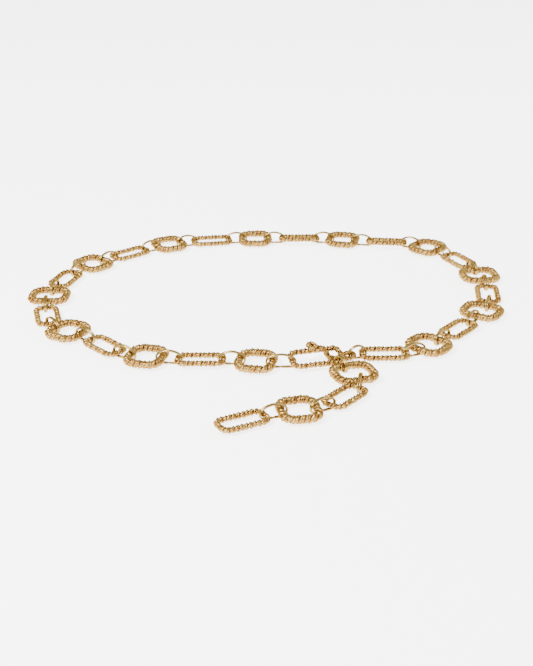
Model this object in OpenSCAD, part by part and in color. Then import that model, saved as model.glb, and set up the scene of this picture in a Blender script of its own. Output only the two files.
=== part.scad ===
// Gold-coloured waist chain, lying fastened on a level surface. Long and wide links of twisted wire
// follow each other, joined by upright double jump rings; a hook closes the loop and a short tail is free.
// +X is to the right, +Y to the back and +Z up; the origin is under the middle of the laid chain.

/* [Long links] */
// Length of a long link
long_l = 31; // [27:0.5:36]
// Width of a long link
long_w = 16; // [15.6:0.2:20]
// Thickness of a long link's wire between its lumps
long_wire = 3.2; // [2.2:0.1:3.3]
// Radius of a long link's corners, at the middle of the wire
long_corner = 4.6; // [3.8:0.1:5]
// Height of the lumps on a long link's wire
long_lump = 0.2; // [0.1:0.05:0.3]
// Length of the front long link, which the hook holds
front_l = 34.4; // [32:0.2:38]

/* [Wide links] */
// Length of a wide link, along the chain
wide_l = 24.6; // [22:0.2:30]
// Width of a wide link, across the chain
wide_w = 27.2; // [25:0.2:32]
// Thickness of a wide link's wire between its lumps
wide_wire = 4.6; // [3:0.1:4.8]
// Radius of a wide link's corners, at the middle of the wire
wide_corner = 7; // [5:0.2:8]
// Height of the lumps on a wide link's wire
wide_lump = 0.3; // [0.1:0.05:0.4]

/* [Jump rings] */
// Length of a jump ring
ring_l = 17.2; // [16.4:0.2:20]
// Length of the jump ring at the front link's left end
front_ring_l = 19; // [17.4:0.2:20]
// Length of the short jump ring between the hook and the chain
hook_ring_l = 12.2; // [11.8:0.2:14]
// Length of the jump ring that holds the tail
tail_ring_l = 14.6; // [13:0.2:16]
// Height of a jump ring
ring_h = 9.4; // [9.2:0.2:12]
// Thickness of a jump ring's wire
ring_wire = 1.2; // [0.8:0.05:1.3]
// Bend radius at a jump ring's ends, at the middle of the wire
ring_bend = 2.7; // [2.3:0.1:2.9]

/* [Hook] */
// Thickness of the hook's wire between its lumps
hook_wire = 2.9; // [2.4:0.1:3.1]
// Height of the lumps on the hook's wire
hook_lump = 0.15; // [0.1:0.05:0.25]
// Distance between the hook's two legs, from middle to middle
leg_pitch = 3.5; // [3.4:0.1:3.7]
// Radius of the hook's eye, at the middle of the wire
eye_r = 3.6; // [3.4:0.1:4.4]
// Length from the middle of the eye to the knee under the front link
shank_l = 8; // [7.5:0.5:11]
// Length of the hook's gentle rise from its knee, inside the front link
gentle_l = 5; // [4:0.5:7]
// Slope of that gentle rise, in degrees
gentle = 22; // [18:1:26]
// Slope of the steep climb that follows it, in degrees
climb = 60; // [54:1:64]
// Radius of the sideways turn at the hook's top
hook_turn = 3.8; // [3.7:0.1:4.6]
// Length of the hook's tip after the turn
tip_l = 3; // [2.6:0.2:6]

/* [Fit] */
// Play of a wire in a jump ring
play = 0.15; // [0.12:0.01:0.25]
// Gap between a jump ring's lower wire and the wire that rests on it
lift = 0.25; // [0.2:0.01:0.35]

/* [Hidden] */
// Heading of each link along the chain and how far it leans over, in degrees, from the front link
// leftwards round the loop to the hook, then the four links of the tail; set by hand
route = [
    [195, -16], [169, 0], [180, 2.5], [167, 0], [134, 0], [150, 0], [105, 0], [88, 0], [74, 0],
    [47, 0], [41, 0], [24, 0], [10, 2], [1, 0], [1, -9], [-12, 0], [-6, -9], [-40, 0], [-64, 0],
    [-82, 0], [-95, 0], [-121, 0], [-129, 0], [-132, 0], [-178, 0],
    [-70, 0], [-130, 0], [-168, 0], [-152, 0]];
loop_links = 25;
all_links = len(route);
// Where the loop's left and right halves meet at the back
left_links = 13;
// Headings of the ring that holds the tail and of the hook's own ring
tail_ring_way = -63;
hook_ring_way = 13;
// How far along the front link's left end its ring sits towards the back
front_ring_slide = 1.1;
// How far left of the middle of the tail's first end bar its ring sits
tail_ring_slide = 2;
// Gap between two links' corners at a sharp fold
fold_gap = 0.2;
// Distance between the two turns of a jump ring, as a share of its wire
turn_share = 0.86;
gold = [0.85, 0.68, 0.38];
wire_sides = 48;
overlap = 0.2;
// Spacing of the lumps on a straight wire
lump_pitch = 5.2;
ring_pitch = ring_wire * turn_share;
ring_w = ring_wire + ring_pitch;
ring_hole_bend = ring_bend - ring_wire / 2;

function is_long(k) = k % 2 == 1;
function link_name(k) = str(is_long(k) ? "long_link_" : "wide_link_", ceil(k / 2));
function link_l(k) = k == 1 ? front_l : is_long(k) ? long_l : wide_l;
function link_w(k) = is_long(k) ? long_w : wide_w;
function wire(k) = is_long(k) ? long_wire : wide_wire;
function corner(k) = is_long(k) ? long_corner : wide_corner;
function lump(k) = is_long(k) ? long_lump : wide_lump;
function heading(k) = route[k - 1][0];
function lean(k) = route[k - 1][1];
function half_l(k) = (link_l(k) - wire(k)) / 2;
function half_w(k) = (link_w(k) - wire(k)) / 2;
function way(a) = [cos(a), sin(a)];
function turned(p, a) = [p.x * cos(a) - p.y * sin(a), p.x * sin(a) + p.y * cos(a)];
function angle_of(p) = atan2(p.y, p.x);
function ring_way(i, j) = (heading(i) + heading(j)) / 2;

// Distance from the inner end of a ring to the middle of a wire of this thickness that lies in it
function seat(thick, skew) =
    let (
        drop = max(0, ring_hole_bend - lift - thick / 2),
        room = ring_hole_bend - thick / 2 - play,
        square_on = drop > 0 ? ring_hole_bend - sqrt(room * room - drop * drop) : thick / 2 + play)
    square_on + thick / 2 * (1 / cos(skew) - 1) + ring_w / 2 * abs(tan(skew));
// The same, for a wire that curves round the ring's end with radius r
function curved_seat(thick, r) = seat(thick, 0) + pow(ring_w / 2, 2) / (2 * r - thick);
// Distance from the middle of the ring to link k's end bar
function hold(k, ring_heading, l = ring_l) = l / 2 - ring_wire - seat(wire(k), ring_heading - heading(k));
// Where the chain folds sharply, its ring is longer if the two links' corners would touch otherwise
function corner_spot(k, inner_side, forward) =
    way(heading(k)) * forward * corner(k) + way(heading(k) + 90) * inner_side * (half_w(k) - corner(k));
function outer_r(k) = corner(k) + wire(k) / 2 + lump(k);
function spare(i, l) =
    let (
        inner_side = sign(heading(i + 1) - heading(i)),
        facing = ring_way(i, i + 1),
        apart = corner_spot(i + 1, inner_side, 1) - corner_spot(i, inner_side, -1),
        across = apart * way(facing + 90),
        clear = outer_r(i) + outer_r(i + 1) + fold_gap,
        wanted = sqrt(max(0, clear * clear - across * across)) - apart * way(facing))
    max(0, wanted - hold(i, facing, l) - hold(i + 1, facing, l));
function after_l(i) =
    let (l = i == 1 ? front_ring_l : ring_l)
    l + spare(i, l);
// From link i's end bar to link j's, over the ring between them
function hop(i, j) = way(ring_way(i, j))
    * (hold(i, ring_way(i, j), after_l(i)) + hold(j, ring_way(i, j), after_l(i)));

// The front link: its middle is where the laying starts
front_way = heading(1);
front_lean = -lean(1);
// How far the hook's shank points away from the front link's length, and where it crosses its middle line
shank_skew = 14;
strip_across = 0.8;
// How far inside the front link's end bar the hook's knee is, the radius of the bend at its crest and
// the level run after that
knee_back = 2;
crest_bend = 2.4;
crest_run = 0.8;
thick_wire = hook_wire + 2 * hook_lump;
// Gaps under the hook's knee, between its shank and the front link, and over that link's rear bar
ground_clear = 0.05;
knee_z = thick_wire / 2 + ground_clear;
under_clear = 0.25;
hook_clear = 0.2;
front_z = knee_z + (hook_wire / 2 + long_wire / 2 + long_lump + under_clear) / cos(front_lean)
    + (leg_pitch / 2 - strip_across) * tan(front_lean);
rear_bar_z = front_z + half_w(1) * sin(front_lean);
crest_z = rear_bar_z + thick_wire / 2 + long_wire / 2 + long_lump + hook_clear;
// A point given from the front link's middle, to its right and to its back
function at_front(right, back) = -way(front_way) * right - way(front_way + 90) * back;

// The hook's main points
shank_way = front_way + shank_skew;
knee = at_front(half_l(1) - knee_back, strip_across);
eye = knee - way(shank_way) * shank_l;
eye_far_z = ring_wire + lift + thick_wire / 2;
shank_drop = asin((eye_far_z - knee_z) / (shank_l + eye_r));
elbow = knee + way(front_way) * gentle_l;
elbow_z = knee_z + gentle_l * tan(gentle);
crest = elbow + way(front_way) * (crest_z - elbow_z) / tan(climb);
eye_seat = curved_seat(thick_wire, eye_r);
hook_ring = eye + way(hook_ring_way) * (eye_r + hook_ring_l / 2 - ring_wire - eye_seat);

// Each half of the loop, from its front end, as the route lays it
left_start = at_front(-half_l(1), front_ring_slide);
right_start = hook_ring + way(hook_ring_way) * hold(loop_links, hook_ring_way + 180, hook_ring_l);
function left_off(k) = k == 2
    ? hop(1, 2) + way(heading(2)) * half_l(2)
    : left_off(k - 1) + way(heading(k - 1)) * half_l(k - 1) + hop(k - 1, k) + way(heading(k)) * half_l(k);
function right_off(k) = k == loop_links
    ? -way(heading(k)) * half_l(k)
    : right_off(k + 1) - way(heading(k + 1)) * half_l(k + 1) - hop(k, k + 1) - way(heading(k)) * half_l(k);
// Both halves then swing about their front ends until they meet in the middle of the back ring
joint_way = ring_way(left_links, left_links + 1);
left_arm = left_off(left_links) + way(heading(left_links)) * half_l(left_links)
    + way(joint_way) * hold(left_links, joint_way, after_l(left_links));
right_arm = right_off(left_links + 1) - way(heading(left_links + 1)) * half_l(left_links + 1)
    - way(joint_way) * hold(left_links + 1, joint_way, after_l(left_links));
base_line = right_start - left_start;
function triangle_angle(near, far, opposite) =
    acos((near * near + far * far - opposite * opposite) / (2 * near * far));
left_swing = angle_of(base_line) + triangle_angle(norm(left_arm), norm(base_line), norm(right_arm))
    - angle_of(left_arm);
right_swing = angle_of(-base_line) - triangle_angle(norm(right_arm), norm(base_line), norm(left_arm))
    - angle_of(right_arm) + 360;

// The tail hangs on the front link's right front corner
corner_turn = tail_ring_way - front_way + 180;
tail_start = at_front(half_l(1) - long_corner * (1 - cos(corner_turn)),
    (long_corner * (1 + sin(corner_turn)) - half_w(1)) * cos(front_lean));
tail_ring = tail_start + way(tail_ring_way)
    * (tail_ring_l / 2 - ring_wire - curved_seat(long_wire + 2 * long_lump, long_corner));
tail_links = loop_links + 1;
function tail_at(k) = k == tail_links
    ? tail_ring + way(tail_ring_way) * hold(k, tail_ring_way, tail_ring_l)
        + way(heading(k)) * half_l(k) + way(heading(k) + 90) * tail_ring_slide
    : tail_at(k - 1) + way(heading(k - 1)) * half_l(k - 1) + hop(k - 1, k) + way(heading(k)) * half_l(k);

function swing(k) = k == 1 || k > loop_links ? 0 : k <= left_links ? left_swing : right_swing;
function laid_at(k) = k == 1 ? [0, 0]
    : k > loop_links ? tail_at(k)
    : k <= left_links ? left_start + turned(left_off(k), left_swing)
    : right_start + turned(right_off(k), right_swing);
function laid_way(k) = heading(k) + swing(k);
function laid_z(k) = k == 1 ? front_z : ring_wire + lift + wire(k) / 2 + half_w(k) * abs(sin(lean(k)));

// Where each ring stands: its middle, its heading and its length
function ring_swing(k) =
    k > loop_links ? 0
    : k < left_links ? left_swing
    : k > left_links ? right_swing
    : (left_swing + right_swing) / 2;
function ring_after(k) =
    let (
        ahead = ring_way(k, k + 1),
        facing = ahead + ring_swing(k),
        end = k == 1 ? left_start : laid_at(k) + way(laid_way(k)) * half_l(k),
        spot = k == left_links
            ? left_start + turned(left_arm, left_swing)
            : end + way(facing) * hold(k, ahead, after_l(k)))
    [spot, facing, after_l(k)];

// Half the room a link takes along X or Y, when its own length lies at this angle to that axis
function half_span(k, a) =
    abs((half_l(k) - corner(k)) * cos(a)) + abs((half_w(k) - corner(k)) * sin(a))
    + corner(k) + wire(k) / 2 + lump(k);
places = [for (k = [1:all_links]) laid_at(k)];
left_edge = min([for (k = [1:all_links]) places[k - 1].x - half_span(k, laid_way(k))]);
right_edge = max([for (k = [1:all_links]) places[k - 1].x + half_span(k, laid_way(k))]);
near_edge = min([for (k = [1:all_links]) places[k - 1].y - half_span(k, laid_way(k) + 90)]);
far_edge = max([for (k = [1:all_links]) places[k - 1].y + half_span(k, laid_way(k) + 90)]);
middle = [(left_edge + right_edge) / 2, (near_edge + far_edge) / 2];

// A straight wire along X with round lumps
module lumpy_bar(l, thick, high, spots) {
    rotate([0, 90, 0])
        rotate_extrude($fn = wire_sides)
            intersection() {
                union() {
                    translate([0, -l / 2])
                        square([thick / 2, l]);
                    for (s = spots)
                        translate([0, s])
                            circle(thick / 2 + high, $fn = wire_sides);
                }
                translate([0, -l / 2])
                    square([thick, l]);
            }
}

// One closed link of lumpy wire, flat, its length along X
module flat_link(k) {
    run_l = 2 * (half_l(k) - corner(k));
    run_w = 2 * (half_w(k) - corner(k));
    lumps = floor(run_l / lump_pitch);
    for (side = [-1, 1]) {
        translate([0, side * half_w(k), 0])
            lumpy_bar(run_l + 2 * overlap, wire(k), lump(k),
                [for (n = [1:lumps]) (n - (lumps + 1) / 2) * lump_pitch]);
        translate([side * half_l(k), 0, 0])
            rotate(90)
                lumpy_bar(run_w + 2 * overlap, wire(k), lump(k), []);
        for (end = [-1, 1])
            translate([end * run_l / 2, side * run_w / 2, 0])
                rotate((end > 0 ? 0 : 90) + (side * end > 0 ? 0 : side < 0 && end > 0 ? -90 : 0)
                    + (side < 0 && end < 0 ? 90 : 0))
                    rotate_extrude(angle = 90, $fn = wire_sides)
                        translate([corner(k), 0])
                            circle(wire(k) / 2 + lump(k), $fn = wire_sides);
    }
}

// A link where it lies in the chain
module link(k) {
    color(gold)
        translate([places[k - 1].x - middle.x, places[k - 1].y - middle.y, laid_z(k)])
            rotate(laid_way(k))
                rotate([lean(k), 0, 0])
                    flat_link(k);
}

// The two round wires of a jump ring, side by side
module ring_section() {
    for (side = [-1, 1])
        translate([0, side * ring_pitch / 2])
            circle(ring_wire / 2, $fn = wire_sides);
}

// A double jump ring, upright along X, standing on the ground
module jump_ring(l) {
    run_x = l - ring_wire - 2 * ring_bend;
    run_z = ring_h - ring_wire - 2 * ring_bend;
    translate([0, 0, ring_h / 2])
        rotate([90, 0, 0])
            for (quarter = [0:3]) {
                long_side = quarter % 2 == 0;
                reach = (long_side ? run_x : run_z) / 2;
                rise = (long_side ? run_z : run_x) / 2;
                rotate(quarter * 90) {
                    translate([reach, rise, 0])
                        rotate_extrude(angle = 90, $fn = wire_sides)
                            translate([ring_bend, 0])
                                ring_section();
                    translate([reach + ring_bend, rise, 0])
                        rotate([90, 0, 0])
                            linear_extrude(2 * rise)
                                ring_section();
                }
            }
}

module placed_ring(spot) {
    translate([spot[0].x - middle.x, spot[0].y - middle.y, 0])
        rotate(spot[1])
            jump_ring(spot[2]);
}

// The jump rings that follow the links from first to last
module rings(first, last) {
    color(gold)
        for (k = [first:last])
            placed_ring(ring_after(k));
}

// The rings of the hook, of the tail's start and between the tail's links
module rings_tail() {
    color(gold) {
        placed_ring([hook_ring, hook_ring_way, hook_ring_l]);
        placed_ring([tail_ring, tail_ring_way, tail_ring_l]);
    }
    rings(tail_links, all_links - 1);
}

// The hook is one wire, doubled into two legs that run from the eye down to the knee, rise gently inside
// the front link, climb steeply to the crest, turn sideways over its rear bar and join at the tip
function level(p, z) = [p.x, p.y, z];
function beside(a) = level(way(a + 90), 0) * leg_pitch / 2;
neck = sqrt(eye_r * eye_r - leg_pitch * leg_pitch / 4);
bend_reach = crest_bend * tan(climb / 2);
turn_from = crest + way(front_way) * (bend_reach + crest_run);
tip_ahead = way(front_way - 90);
turn_middle = turn_from + tip_ahead * hook_turn;
tip_from = turn_middle + way(front_way) * hook_turn;
tip_end = tip_from + tip_ahead * tip_l;

// A stretch of the hook's wire from p to q, with lumps a little off its ends
module leg(p, q, lumps) {
    along = q - p;
    l = norm(along);
    translate((p + q) / 2)
        rotate([0, -asin(along.z / l), angle_of(along)])
            lumpy_bar(l, hook_wire, hook_lump, [for (n = [1:lumps]) (n / (lumps + 1) - 0.5) * l]);
}

// A bend of the hook's wire that starts at angle 0 and lies flat
module bend(r, angle) {
    rotate_extrude(angle = angle, $fn = wire_sides)
        translate([r, 0])
            circle(thick_wire / 2, $fn = wire_sides);
}

module hook_clasp() {
    mitre = 1 / cos((shank_way - front_way) / 2);
    color(gold)
        translate([-middle.x, -middle.y, 0]) {
            translate(level(eye, knee_z + shank_l * tan(shank_drop)))
                rotate(shank_way)
                    rotate([0, shank_drop, 0])
                        bend(eye_r, 360);
            for (side = [-1, 1]) {
                at_neck = level(eye + way(shank_way) * neck, knee_z + (shank_l - neck) * tan(shank_drop))
                    + side * beside(shank_way);
                at_knee = level(knee, knee_z) + side * mitre * beside((shank_way + front_way) / 2);
                at_elbow = level(elbow, elbow_z) + side * beside(front_way);
                at_crest = level(crest, crest_z) + side * beside(front_way);
                at_turn = level(turn_from, crest_z) + side * beside(front_way);
                leg(at_neck, at_knee, 0);
                leg(at_knee, at_elbow, 1);
                uphill = level(way(front_way) * cos(climb), sin(climb));
                onward = level(way(front_way), 0);
                leg(at_elbow, at_crest - uphill * (bend_reach - overlap), 1);
                leg(at_crest + onward * (bend_reach - overlap), at_turn + onward * overlap, 0);
                translate(at_crest + onward * bend_reach - level([0, 0], crest_bend))
                    rotate([90, 0, front_way])
                        rotate(90)
                            bend(crest_bend, climb);
                for (kink = [at_knee, at_elbow])
                    translate(kink)
                        rotate([90, 0, front_way])
                            sphere(d = thick_wire, $fn = wire_sides);
                translate(level(turn_middle, crest_z))
                    rotate(front_way)
                        bend(hook_turn + side * leg_pitch / 2, 90);
                tip_side = side * beside(front_way - 90);
                leg(level(tip_from - tip_ahead * overlap, crest_z) + tip_side,
                    level(tip_end + tip_ahead * overlap, crest_z) + tip_side, 0);
            }
            translate(level(tip_end, crest_z))
                rotate(front_way - 180)
                    bend(leg_pitch / 2, 180);
        }
}

for (k = [1:all_links])
    link(k);
hook_clasp();
rings(1, 6);  // rings_front_left
rings(7, left_links - 1);  // rings_back_left
rings(left_links, left_links + 5);  // rings_back_right
rings(left_links + 6, loop_links - 1);  // rings_front_right
rings_tail();
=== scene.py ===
import math

import bmesh
import bpy
import numpy as np
from mathutils import Matrix, Vector


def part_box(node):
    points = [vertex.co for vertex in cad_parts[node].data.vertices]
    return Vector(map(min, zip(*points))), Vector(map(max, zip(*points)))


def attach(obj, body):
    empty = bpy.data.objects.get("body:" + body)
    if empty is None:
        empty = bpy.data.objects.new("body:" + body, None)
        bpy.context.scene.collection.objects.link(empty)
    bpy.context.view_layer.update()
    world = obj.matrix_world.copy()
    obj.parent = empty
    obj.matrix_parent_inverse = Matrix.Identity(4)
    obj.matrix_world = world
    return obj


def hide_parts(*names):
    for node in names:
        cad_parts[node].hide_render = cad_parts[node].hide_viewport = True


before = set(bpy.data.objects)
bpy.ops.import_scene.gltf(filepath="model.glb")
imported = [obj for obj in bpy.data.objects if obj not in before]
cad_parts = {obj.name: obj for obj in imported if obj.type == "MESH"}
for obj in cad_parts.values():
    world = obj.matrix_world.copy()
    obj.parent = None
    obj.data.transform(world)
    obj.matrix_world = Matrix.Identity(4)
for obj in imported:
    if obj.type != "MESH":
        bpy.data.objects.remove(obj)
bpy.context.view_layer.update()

# The view: a long lens from the front, a little above the chain, aimed at the white sheet in front of
# the middle of the loop.
aim = Vector((-0.0018, -0.0244, 0))
camera_distance = 0.7605
camera_rise = math.radians(24.22)
camera = bpy.data.objects.new("camera", bpy.data.cameras.new("camera"))
camera.data.lens = 63.2
camera.data.clip_end = 60
camera.location = aim + camera_distance * Vector((0, -math.cos(camera_rise), math.sin(camera_rise)))
camera.rotation_euler = (math.pi / 2 - camera_rise, 0, 0)
bpy.context.scene.collection.objects.link(camera)
bpy.context.scene.camera = camera

# The studio: a white sheet under the chain, an even white room, a large soft lamp from the upper left
# and a weaker one from the right.
room = bpy.data.worlds.new("room")
room.use_nodes = True
room.node_tree.nodes["Background"].inputs["Color"].default_value = (1, 1, 1, 1)
room.node_tree.nodes["Background"].inputs["Strength"].default_value = 1.1
bpy.context.scene.world = room

sheet_reach = 20
sheet_corners = [(x * sheet_reach, y * sheet_reach, 0) for x, y in ((-1, -1), (1, -1), (1, 1), (-1, 1))]
sheet_mesh = bpy.data.meshes.new("white_sheet")
sheet_mesh.from_pydata(sheet_corners, [], [(0, 1, 2, 3)])
sheet = bpy.data.objects.new("white_sheet", sheet_mesh)
bpy.context.scene.collection.objects.link(sheet)
sheet_white = bpy.data.materials.new("sheet_white")
sheet_white.use_nodes = True
sheet_paper = sheet_white.node_tree.nodes["Principled BSDF"]
sheet_paper.inputs["Base Color"].default_value = (0.9, 0.9, 0.9, 1)
sheet_paper.inputs["Roughness"].default_value = 0.9
sheet_paper.inputs["Emission Color"].default_value = (1, 1, 1, 1)
sheet_paper.inputs["Emission Strength"].default_value = 4.0
sheet_mesh.materials.append(sheet_white)

for lamp_name, spot, size, watts in (("key_lamp", (-0.8, -0.6, 1.2), 0.6, 50),
                                     ("fill_lamp", (1.0, 0.3, 0.9), 0.9, 8)):
    lamp = bpy.data.objects.new(lamp_name, bpy.data.lights.new(lamp_name, "AREA"))
    lamp.data.size = size
    lamp.data.energy = watts
    lamp.location = spot
    lamp.rotation_euler = (-Vector(spot)).to_track_quat("-Z", "Y").to_euler()
    bpy.context.scene.collection.objects.link(lamp)

# Long links: slim closed links of gold-plated wire, two strands twisted together and soldered into
# an oblong, each strand wrapped in finer wire. A jump ring holds each end and wears it smooth there.


class Value:
    """An output socket. Arithmetic on it adds Math nodes."""

    def __init__(self, board, socket):
        self.board = board
        self.socket = socket

    def __getitem__(self, name):
        return Value(self.board, find_socket(self.socket.node.outputs, name))

    def math(self, operation, *others):
        return self.board.node("ShaderNodeMath", {"operation": operation},
                               dict(enumerate((self, *others))))

    def __add__(self, other):
        return self.math("ADD", other)

    def __sub__(self, other):
        return self.math("SUBTRACT", other)

    def __rsub__(self, other):
        return self.math("MULTIPLY_ADD", -1.0, other)

    def __mul__(self, other):
        return self.math("MULTIPLY", other)

    def __truediv__(self, other):
        return self.math("DIVIDE", other)

    def __rtruediv__(self, other):
        return self.math("POWER", -1.0) * other

    __radd__ = __add__
    __rmul__ = __mul__


def find_socket(sockets, name):
    usable = [s for s in sockets if s.enabled]
    return usable[name] if isinstance(name, int) else next(s for s in usable if s.name == name)


class Board:
    """A node tree, to which node() adds one node: first its settings, then its values and links."""

    def __init__(self, tree):
        self.tree = tree

    def node(self, kind, settings=None, inputs=None):
        made = self.tree.nodes.new(kind)
        for name, value in (settings or {}).items():
            if name == "stops":
                ramp = made.color_ramp.elements
                while len(ramp) < len(value):
                    ramp.new(0.5)
                for element, (place, colour) in zip(ramp, value):
                    element.position = place
                    element.color = (*colour, 1)
            elif name == "captures":
                for kind_of_value, label in value:
                    made.capture_items.new(kind_of_value, label)
            else:
                setattr(made, name, value)
        for name, value in (inputs or {}).items():
            socket = find_socket(made.inputs, name)
            if isinstance(value, Value):
                self.tree.links.new(value.socket, socket)
            else:
                socket.default_value = value
        shown = [s for s in made.outputs if s.enabled]
        return Value(self, shown[0]) if shown else None


def geometry_board(name, sizes):
    """A Geometry Nodes tree with these named inputs, and the values they carry."""
    tree = bpy.data.node_groups.new(name, "GeometryNodeTree")
    tree.interface.new_socket("Geometry", in_out="OUTPUT", socket_type="NodeSocketGeometry")
    tree.interface.new_socket("Geometry", in_out="INPUT", socket_type="NodeSocketGeometry")
    for label in sizes:
        kind = "Int" if label in ("Steps", "Sides") else "Float"
        tree.interface.new_socket(label, in_out="INPUT", socket_type="NodeSocket" + kind)
    board = Board(tree)
    return board, board.node("NodeGroupInput")


WOUND_SIZES = ("Steps", "Sides", "Strands", "Strand radius", "Strand offset", "Turns", "Wraps",
               "Wrap slant", "Wrap height", "Knob size", "Knob height", "Lump height", "Lump size",
               "Seat radius", "Seat half width", "Seed")


waver_size = 0.0023
strand_waver = 0.35
wrap_waver = 0.9
seat_slope = 0.6


def wind(board, given, path, closed, material, away="Y"):
    """Winds a wire of twisted strands along a path, and ends the tree with it. Near 0 on the axis away,
    where another piece bears on the wire, it is worn down to the seat radius."""
    path = board.node("GeometryNodeResampleCurve", None, {"Curve": path, "Count": given["Steps"]})
    if closed:
        path = board.node("GeometryNodeSetCurveNormal", {"mode": "Z_UP"}, {"Curve": path})
    factor = board.node("GeometryNodeSplineParameter")
    position = board.node("GeometryNodeInputPosition")
    kept = board.node("GeometryNodeCaptureAttribute",
                      {"captures": [("FLOAT", "Along"), ("VECTOR", "Core")]},
                      {"Geometry": path, "Along": factor, "Core": position})
    size, off = given["Strand radius"], given["Strand offset"]
    circle = board.node("GeometryNodeCurvePrimitiveCircle", None,
                        {"Resolution": given["Sides"], "Radius": size})
    rim = board.node("GeometryNodeCaptureAttribute", {"captures": [("FLOAT", "Around")]},
                     {"Geometry": circle, "Around": factor})
    wire = board.node("GeometryNodeCurveToMesh", None,
                      {"Curve": kept, "Profile Curve": rim, "Fill Caps": not closed})
    along, around = kept["Along"], rim["Around"]
    # Its own factor on the seed keeps each of the three noises apart from the others
    waver = board.node("ShaderNodeTexNoise", {"noise_dimensions": "4D"},
                       {"Vector": position, "W": given["Seed"] * 7.3, "Scale": 1.0 / waver_size,
                        "Detail": 1.0}) - 0.5
    # Each strand is round: the angle from its outermost line gives the wire's radius there
    turn = (around + along * given["Turns"] + given["Seed"]) * given["Strands"] + waver * strand_waver
    angle = (turn.math("FRACT") - 0.5) * (2 * math.pi) / given["Strands"]
    side = off * angle.math("SINE")
    radius = off * angle.math("COSINE") + (size * size - side * side).math("MAXIMUM", 0.0).math("SQRT")
    # Finer wire wrapped round the strands, and the unevenness of hand-wound wire
    wrap = (along * given["Wraps"] + around * given["Wrap slant"] + waver * wrap_waver) * math.pi
    wrap = wrap.math("SINE").math("ABSOLUTE")
    lumps = board.node("ShaderNodeTexNoise", {"noise_dimensions": "4D"},
                       {"Vector": position, "W": given["Seed"] * 3.1, "Scale": 1.0 / given["Lump size"],
                        "Detail": 2.0})
    lumps = (lumps - 0.5) * 2.0
    knobs = board.node("ShaderNodeTexVoronoi", {"voronoi_dimensions": "4D"},
                       {"Vector": position, "W": given["Seed"] * 1.7, "Scale": 1.0 / given["Knob size"]})
    knobs = 1.0 - knobs["Distance"] * 2.0
    relief = (wrap - 0.6) * given["Wrap height"]
    relief = relief + knobs * given["Knob height"] + lumps * given["Lump height"]
    distance = board.node("ShaderNodeSeparateXYZ", None, {0: kept["Core"]})[away].math("ABSOLUTE")
    worn = (distance - given["Seat half width"]).math("MAXIMUM", 0.0) * seat_slope + given["Seat radius"]
    radius = (radius + relief).math("MINIMUM", worn)
    out = board.node("ShaderNodeVectorMath", {"operation": "SUBTRACT"}, {0: position, 1: kept["Core"]})
    out = board.node("ShaderNodeVectorMath", {"operation": "NORMALIZE"}, {0: out})
    spot = board.node("ShaderNodeVectorMath", {"operation": "MULTIPLY_ADD"},
                      {0: out, 1: radius, 2: kept["Core"]})
    # How far each point stands out, about 0 in a crease and 1 on a ridge: the colour ramp turns it into
    # painted shade in the creases and a painted highlight on the ridges
    ridge = angle.math("COSINE") * 1.6 - 0.6
    proud = wrap * wrap * 0.55 + ridge * 0.25 + knobs * 0.2 + lumps * 0.2 + 0.05
    wire = board.node("GeometryNodeStoreNamedAttribute", {"data_type": "FLOAT", "domain": "POINT"},
                      {"Geometry": wire, "Name": "proud", "Value": proud})
    wire = board.node("GeometryNodeSetPosition", None, {"Geometry": wire, "Position": spot})
    finish_tree(board, wire, material)


def finish_tree(board, geometry, material):
    smooth = board.node("GeometryNodeSetShadeSmooth", None, {"Geometry": geometry})
    real = board.node("GeometryNodeRealizeInstances", None, {"Geometry": smooth})
    dressed = board.node("GeometryNodeSetMaterial", None, {"Geometry": real, "Material": material})
    board.node("NodeGroupOutput", None, {"Geometry": dressed})


def link_tree(name, material):
    """A flat closed link, its length along X, wound along a rectangle with round corners."""
    board, given = geometry_board(name, ("Length", "Width", "Corner") + WOUND_SIZES)
    path = board.node("GeometryNodeCurvePrimitiveQuadrilateral", None,
                      {"Width": given["Length"], "Height": given["Width"]})
    path = board.node("GeometryNodeFilletCurve", {"mode": "POLY"},
                      {"Curve": path, "Count": 24, "Radius": given["Corner"]})
    wind(board, given, path, True, material)
    return board.tree


def run_tree(base, tree, sizes, name):
    """The mesh that a tree makes of an object's mesh with these sizes."""
    holder = bpy.data.objects.new(name + "_base", base)
    bpy.context.scene.collection.objects.link(holder)
    modifier = holder.modifiers.new("tree", "NODES")
    modifier.node_group = tree
    for item in tree.interface.items_tree:
        if item.in_out == "INPUT" and item.name in sizes:
            modifier[item.identifier] = sizes[item.name]
    made = bpy.data.meshes.new_from_object(holder.evaluated_get(bpy.context.evaluated_depsgraph_get()))
    bpy.data.objects.remove(holder)
    made.name = name
    return made


def add_piece(name, mesh, slot, *nodes):
    piece = bpy.data.objects.new(name, mesh)
    bpy.context.scene.collection.objects.link(piece)
    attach(piece, "root")
    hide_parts(*nodes)
    return piece


def solids(node):
    """The separate solids of a CAD node: the corners of each one's triangles."""
    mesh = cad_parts[node].data
    mesh.calc_loop_triangles()
    spots = np.array([v.co for v in mesh.vertices])
    faces = np.array([t.vertices for t in mesh.loop_triangles])
    same = np.unique(np.round(spots, 6), axis=0, return_inverse=True)[1].ravel()
    group = np.arange(same.max() + 1)
    joined = same[faces]
    while True:
        lowest = group[joined].min(axis=1)
        before = group.copy()
        for corner in range(3):
            np.minimum.at(group, joined[:, corner], lowest)
        group = group[group]
        if (group == before).all():
            break
    owner = group[joined[:, 0]]
    return [spots[faces[owner == g]] for g in np.unique(owner)]


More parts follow.
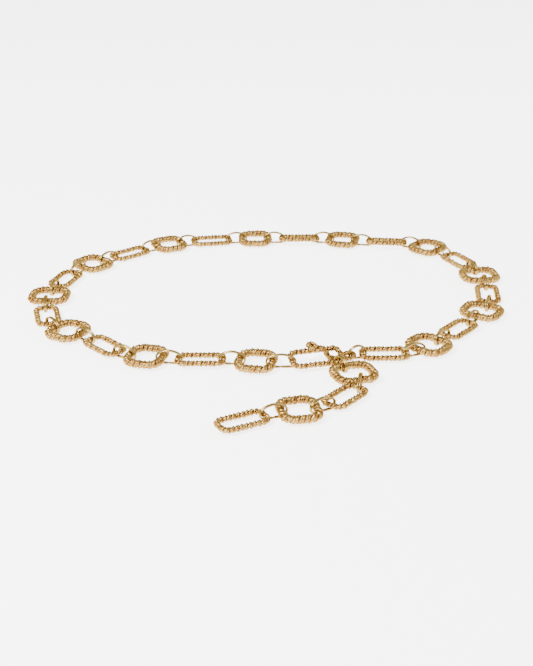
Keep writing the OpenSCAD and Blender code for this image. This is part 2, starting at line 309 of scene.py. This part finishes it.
def resting_place(corners, order):
    """A solid's place and sizes. Its axes, from the longest spread to the shortest, become X, Y and Z in
    this order."""
    areas = np.linalg.norm(np.cross(corners[:, 1] - corners[:, 0], corners[:, 2] - corners[:, 0]), axis=1)
    centres = corners.mean(axis=1)
    middle = (centres * areas[:, None]).sum(axis=0) / areas.sum()
    spread = ((centres - middle) * areas[:, None]).T @ (centres - middle)
    axes = np.linalg.eigh(spread)[1].T[::-1][list(order)]
    axes[2] *= math.copysign(1, axes[2][2])
    axes[0] *= math.copysign(1, axes[0][0])
    axes[1] = np.cross(axes[2], axes[0])
    local = (corners.reshape(-1, 3) - middle) @ axes.T
    centre = middle + (local.max(axis=0) + local.min(axis=0)) / 2 @ axes
    place = Matrix([[*axes[:, row], centre[row]] for row in range(3)] + [[0, 0, 0, 1]])
    return place, np.ptp(local, axis=0)


patch_scale = 420.0
grain_scale = 2600.0


def gold(name, painted_ridge_highlight, warm, painted_crease_shade, rough, grain):
    """Plated wire: light gold with a painted highlight where it stands out, warmer below, and brown with
    painted shade in the hollows.
    """
    material = bpy.data.materials.new(name)
    material.use_nodes = True
    board = Board(material.node_tree)
    shader = material.node_tree.nodes["Principled BSDF"]
    shader.inputs["Metallic"].default_value = 1
    shader.inputs["Specular Tint"].default_value = (0.85, 0.6, 0.3, 1)
    at = board.node("ShaderNodeTexCoord")["Object"]
    proud = board.node("ShaderNodeAttribute", {"attribute_name": "proud"})["Fac"]
    patches = board.node("ShaderNodeTexNoise", None, {"Vector": at, "Scale": patch_scale, "Detail": 3.0})
    grains = board.node("ShaderNodeTexNoise", None, {"Vector": at, "Scale": grain_scale, "Detail": 2.0})
    # Painted light level plus random patches and grains of tone: low values paint shade into the hollows,
    # high values paint a highlight on the ridges
    level = proud + (patches - 0.5) * 0.35 + (grains - 0.5) * 0.15
    colour = board.node("ShaderNodeValToRGB", {"stops": [(0.12, painted_crease_shade), (0.45, warm), (0.85, painted_ridge_highlight)]},
                        {"Fac": level})
    board.tree.links.new(colour.socket, shader.inputs["Base Color"])
    board.tree.links.new((rough + (patches - 0.5) * 0.25).socket, shader.inputs["Roughness"])
    bump = board.node("ShaderNodeBump", None, {"Strength": 0.5, "Distance": grain, "Height": grains})
    board.tree.links.new(bump.socket, shader.inputs["Normal"])
    return material


# Painted ridge highlight, the wire's own warm gold, painted crease shade, roughness and grain size
wound_look = ((0.42, 0.295, 0.083), (0.33, 0.201, 0.056), (0.17, 0.056, 0.014), 0.34, 0.0001)
seat_half_width = 0.0016
long_gold = gold("long_link_gold", *wound_look)
long_wire = 0.0032
long_sizes = {"Corner": 0.0046, "Steps": 460, "Sides": 28, "Strands": 2.0, "Strand radius": 0.00136,
              "Strand offset": 0.0006, "Turns": 14.0, "Wraps": 45.0, "Wrap slant": 3.0,
              "Wrap height": 0.0004, "Knob size": 0.0024, "Knob height": 0.00025,
              "Lump height": 0.0002, "Lump size": 0.004, "Seat radius": 0.00166}
# How far off the middle of its end bar a link's ring may sit
off_middle = {1: 0.0012}
long_tree = link_tree("long_link", long_gold)
for number in range(1, 16):
    node = f"long_link_{number}"
    place, sizes = resting_place(solids(node)[0], (0, 1, 2))
    link = run_tree(bpy.data.meshes.new("empty"), long_tree,
                    {**long_sizes, "Length": sizes[0] - long_wire, "Width": sizes[1] - long_wire,
                     "Seat half width": seat_half_width + off_middle.get(number, 0),
                     "Seed": number * 0.37},
                    "twisted_" + node)
    link.transform(place)
    add_piece("twisted_" + node, link, "long_link_wire", node)

# Wide links: nearly square closed links of the same kind of gold-plated wire in a thicker size, with
# coarser strands and wraps. They come between the long links, and a jump ring holds each end bar.
wide_gold = gold("wide_link_gold", *wound_look)
wide_wire = 0.0046
wide_sizes = {"Corner": 0.007, "Steps": 460, "Sides": 30, "Strands": 2.0, "Strand radius": 0.0021,
              "Strand offset": 0.0005, "Turns": 12.0, "Wraps": 45.0, "Wrap slant": 4.0,
              "Wrap height": 0.0006, "Knob size": 0.003, "Knob height": 0.0003,
              "Lump height": 0.0003, "Lump size": 0.0045, "Seat radius": 0.00236}
off_middle = {13: 0.002}
wide_tree = link_tree("wide_link", wide_gold)
for number in range(1, 15):
    node = f"wide_link_{number}"
    place, sizes = resting_place(solids(node)[0], (1, 0, 2))
    link = run_tree(bpy.data.meshes.new("empty"), wide_tree,
                    {**wide_sizes, "Length": sizes[0] - wide_wire, "Width": sizes[1] - wide_wire,
                     "Seat half width": seat_half_width + off_middle.get(number, 0),
                     "Seed": number * 0.41},
                    "twisted_" + node)
    link.transform(place)
    add_piece("twisted_" + node, link, "wide_link_wire", node)

# Jump rings: upright rings of smooth, round, gold-plated wire, wound in two turns side by side with the
# cut ends underneath. They join the links; the hook and the tail hang on shorter ones.
ring_gold = gold("ring_gold", (0.36, 0.245, 0.075), (0.28, 0.17, 0.048), (0.12, 0.05, 0.012), 0.26, 0.00002)
ring_tone = 0.75
ring_wire = 0.0012
ring_bend = 0.0027
turn_pitch = 0.86 * ring_wire
# Share of a turn from the middle of the underside to each cut end
cut_gap = 0.02
# 1 would make the top half an ellipse, and more makes it leaner
arch_power = 1.15


def ring_path(length, height):
    """The middle of a ring's wire: round its outline twice, stepping over to the second turn halfway."""
    half, rise = (length - ring_wire) / 2, (height - ring_wire) / 2
    quarter = [(math.sin(a), 1 - math.cos(a)) for a in np.linspace(0, math.pi / 2, 10)]
    side = [(0, -rise)] + [(half - ring_bend + ring_bend * x, ring_bend * z - rise) for x, z in quarter]
    side += [(half * math.cos(a) ** arch_power, rise * math.sin(a) ** arch_power)
             for a in np.linspace(0, math.pi / 2, 24)[:-1]]
    outline = np.array(side + [(0, rise)] + [(-x, z) for x, z in side[::-1]])
    run = np.append(0, np.cumsum(np.linalg.norm(np.diff(outline, axis=0), axis=1)))
    share = np.linspace(cut_gap, 2 - cut_gap, 161)
    x, z = (np.interp(share % 1 * run[-1], run, outline[:, axis]) for axis in (0, 1))
    over = np.clip((share - 1) / cut_gap / 2, -1, 1)
    return np.column_stack((x, turn_pitch / 2 * np.sin(over * math.pi / 2), z))


def path_mesh(points, closed=False):
    mesh = bpy.data.meshes.new("path")
    count = len(points)
    edges = [(i, (i + 1) % count) for i in range(count if closed else count - 1)]
    mesh.from_pydata([tuple(p) for p in points], edges, [])
    return mesh


def joined(parts, name):
    """One mesh from several, each with the matrix that places it."""
    whole = bmesh.new()
    for mesh, place in parts:
        copy = mesh.copy()
        copy.transform(place)
        whole.from_mesh(copy)
        bpy.data.meshes.remove(copy)
    made = bpy.data.meshes.new(name)
    whole.to_mesh(made)
    for material in parts[0][0].materials:
        made.materials.append(material)
    return made


board, given = geometry_board("drawn_wire", ("Steps", "Sides", "Wire radius"))
curve = board.node("GeometryNodeMeshToCurve", None, {"Mesh": given})
curve = board.node("GeometryNodeResampleCurve", None, {"Curve": curve, "Count": given["Steps"]})
section = board.node("GeometryNodeCurvePrimitiveCircle", None,
                     {"Resolution": given["Sides"], "Radius": given["Wire radius"]})
wire = board.node("GeometryNodeCurveToMesh", None,
                  {"Curve": curve, "Profile Curve": section, "Fill Caps": True})
wire = board.node("GeometryNodeStoreNamedAttribute", {"data_type": "FLOAT", "domain": "POINT"},
                  {"Geometry": wire, "Name": "proud", "Value": ring_tone})
finish_tree(board, wire, ring_gold)
ring_shapes = {}
for node in ("rings_front_left", "rings_back_left", "rings_back_right", "rings_front_right", "rings_tail"):
    rings = []
    for corners in solids(node):
        place, sizes = resting_place(corners, (0, 2, 1))
        length = round(sizes[0], 4)
        if length not in ring_shapes:
            ring_shapes[length] = run_tree(path_mesh(ring_path(length, sizes[2])), board.tree,
                                           {"Steps": 150, "Sides": 12, "Wire radius": ring_wire / 2}, "ring")
        rings.append((ring_shapes[length], place))
    add_piece("double_" + node, joined(rings, "double_" + node), "ring_wire", node)

# Hook: one length of gold-plated twisted wire, folded in two at the tip. Its two legs lie side by side
# from a soldered eye, pass under the front link, climb through it and turn sideways at the top.
hook_gold = gold("hook_gold", *wound_look)
hook_wire = 0.0032
leg_pitch = 0.0035
eye_radius = 0.0036
shank_length = 0.008
shank_skew = math.radians(14)
shank_slope = math.radians(6.9)
gentle_run = 0.005
gentle_slope = math.radians(22)
climb = math.radians(60)
knee_inset = 0.002
knee_across = 0.0008
crest_run = 0.0022
crest_drop = 0.0003
top_turn = 0.0038
tip_run = 0.003

front_link, front_sizes = resting_place(solids("long_link_1")[0], (0, 1, 2))
hook_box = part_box("hook_clasp")
knee_height = hook_box[0][2] + hook_wire / 2
crest_height = hook_box[1][2] - hook_wire / 2 - crest_drop
up = Vector((0, 0, 1))
right = Vector((front_link[0][0], front_link[1][0], 0)).normalized()
back = up.cross(right)
left = -right
knee = Vector((front_link[0][3], front_link[1][3], knee_height))
knee += right * ((front_sizes[0] - long_wire) / 2 - knee_inset) + back * knee_across
shank = Matrix.Rotation(shank_skew, 3, "Z") @ left
shank_side = up.cross(shank)
eye = knee - shank * shank_length + up * shank_length * math.tan(shank_slope)
elbow = knee + left * gentle_run + up * gentle_run * math.tan(gentle_slope)
crest = elbow + left * (crest_height - elbow.z) / math.tan(climb) + up * (crest_height - elbow.z)
turn_start = crest + left * crest_run
leg_side = up.cross(left)
ahead = -leg_side
turn_middle = turn_start + ahead * top_turn
neck = math.sqrt(eye_radius ** 2 - leg_pitch ** 2 / 4)


def leg_path(side):
    """One leg's middle line from the eye to the tip."""
    off = side * leg_pitch / 2
    points = [eye + shank * neck - up * neck * math.tan(shank_slope) + shank_side * off,
              knee + (shank_side + leg_side).normalized() * off / math.cos(shank_skew / 2),
              elbow + leg_side * off, crest + leg_side * off]
    for a in np.linspace(math.pi / 2, 0, 9):
        points.append(turn_middle + (left * math.cos(a) + leg_side * math.sin(a)) * (top_turn + off))
    return points + [turn_middle + left * (top_turn + off) + ahead * tip_run]


def rounded(points, step, reach):
    """Points every step along a path, its kinks rounded over this many steps."""
    points = np.array(points)
    run = np.append(0, np.cumsum(np.linalg.norm(np.diff(points, axis=0), axis=1)))
    even = np.linspace(0, run[-1], int(run[-1] / step))
    path = np.column_stack([np.interp(even, run, points[:, axis]) for axis in range(3)])
    padded = np.pad(path, ((reach, reach), (0, 0)), "reflect", reflect_type="odd")
    return np.column_stack([np.convolve(padded[:, axis], np.ones(2 * reach + 1) / (2 * reach + 1), "valid")
                            for axis in range(3)])


tip_middle = turn_middle + left * top_turn + ahead * tip_run
fold = [tip_middle + (left * math.cos(a) + ahead * math.sin(a)) * leg_pitch / 2
        for a in np.linspace(0, math.pi, 13)[1:-1]]
leg_step = 0.00025
kink_reach = 4
legs = rounded(leg_path(1) + fold + leg_path(-1)[::-1], leg_step, kink_reach)
eye_rim = [eye + ((shank * math.cos(shank_slope) - up * math.sin(shank_slope)) * math.cos(a)
                  + shank_side * math.sin(a)) * eye_radius for a in np.linspace(0, 2 * math.pi, 49)[:-1]]
wound = {"Sides": 28, "Strands": 2.0, "Strand radius": 0.0013, "Strand offset": 0.00042,
         "Wrap slant": 3.0, "Wrap height": 0.0004, "Knob size": 0.0017, "Knob height": 0.00035,
         "Lump height": 0.0002, "Lump size": 0.003, "Seat radius": 0.00168, "Seat half width": 0.005,
         "Seed": 0.3}
hook_parts = []
for name, path, closed, sizes in (("legs", legs, False, {"Steps": 420, "Turns": 7.0, "Wraps": 46.0}),
                                  ("eye", eye_rim, True, {"Steps": 120, "Turns": 2.0, "Wraps": 14.0})):
    board, given = geometry_board("hook_" + name, WOUND_SIZES)
    # The eye and knee are near the ground, where the chain bears on them
    wind(board, given, board.node("GeometryNodeMeshToCurve", None, {"Mesh": given}), closed, hook_gold, "Z")
    hook_parts.append((run_tree(path_mesh(path, closed), board.tree, {**wound, **sizes}, name), Matrix()))
add_piece("twisted_hook", joined(hook_parts, "twisted_hook"), "hook_wire", "hook_clasp")
